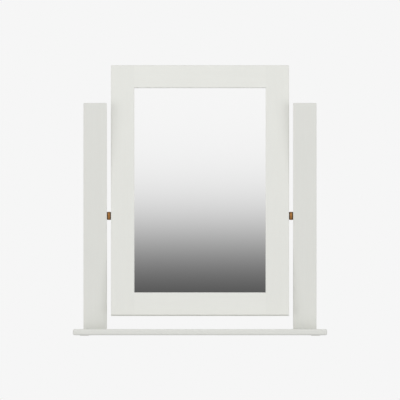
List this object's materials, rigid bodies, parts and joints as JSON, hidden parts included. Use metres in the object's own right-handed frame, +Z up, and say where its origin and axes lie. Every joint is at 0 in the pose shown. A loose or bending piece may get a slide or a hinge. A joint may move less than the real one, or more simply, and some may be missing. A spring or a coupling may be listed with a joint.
{
  "type": "dressing table mirror",
  "caption": "Free-standing swing mirror: painted wooden frame with plain glass, held between two square posts on a flat base board, tilting on brass friction pivots.",
  "frame": {"origin": "on the table, under the middle of the base board, midway between the posts", "axes": "+X to the viewer's right along the base board and along the pivots, +Y away from the viewer, +Z up"},
  "size_m": [0.5, 0.15, 0.5317],
  "materials": {
    "painted_wood": "off-white satin paint",
    "felt": "pressed felt",
    "zinc": "bright zinc plate",
    "beech": "bare beech",
    "mirror": "silvered float glass",
    "foam": "white foam tape",
    "hardboard": "smooth brown hardboard",
    "nylon": "natural nylon",
    "fibre": "brown vulcanised fibre",
    "brass": "aged satin brass"
  },
  "bodies": {
    "stand": {"base_board": "painted_wood", "foot_pads": "felt", "left_post": "painted_wood", "right_post": "painted_wood", "post_screws": "zinc", "post_dowels": "beech", "left_spring_washer": "zinc", "left_flat_washer": "zinc", "left_post_bush": "nylon", "left_post_friction_washer": "fibre", "left_pivot_collar": "brass", "left_frame_friction_washer": "fibre", "right_spring_washer": "zinc", "right_flat_washer": "zinc", "right_post_bush": "nylon", "right_post_friction_washer": "fibre", "right_pivot_collar": "brass", "right_frame_friction_washer": "fibre"},
    "mirror": {"left_stile": "painted_wood", "right_stile": "painted_wood", "top_rail": "painted_wood", "bottom_rail": "painted_wood", "frame_dowels": "beech", "mirror_glass": "mirror", "glazing_tape": "foam", "back_board": "hardboard", "back_board_screws": "zinc", "left_pivot_bolt": "zinc", "left_threaded_insert": "brass", "right_pivot_bolt": "zinc", "right_threaded_insert": "brass"}
  },
  "joints": [
    {"name": "mirror_tilt", "type": "hinge", "parent": "stand", "child": "mirror", "pos_m": [0, 0, 0.2355], "axis": [-1, 0, 0], "range_deg": [-140, 130]}
  ]
}
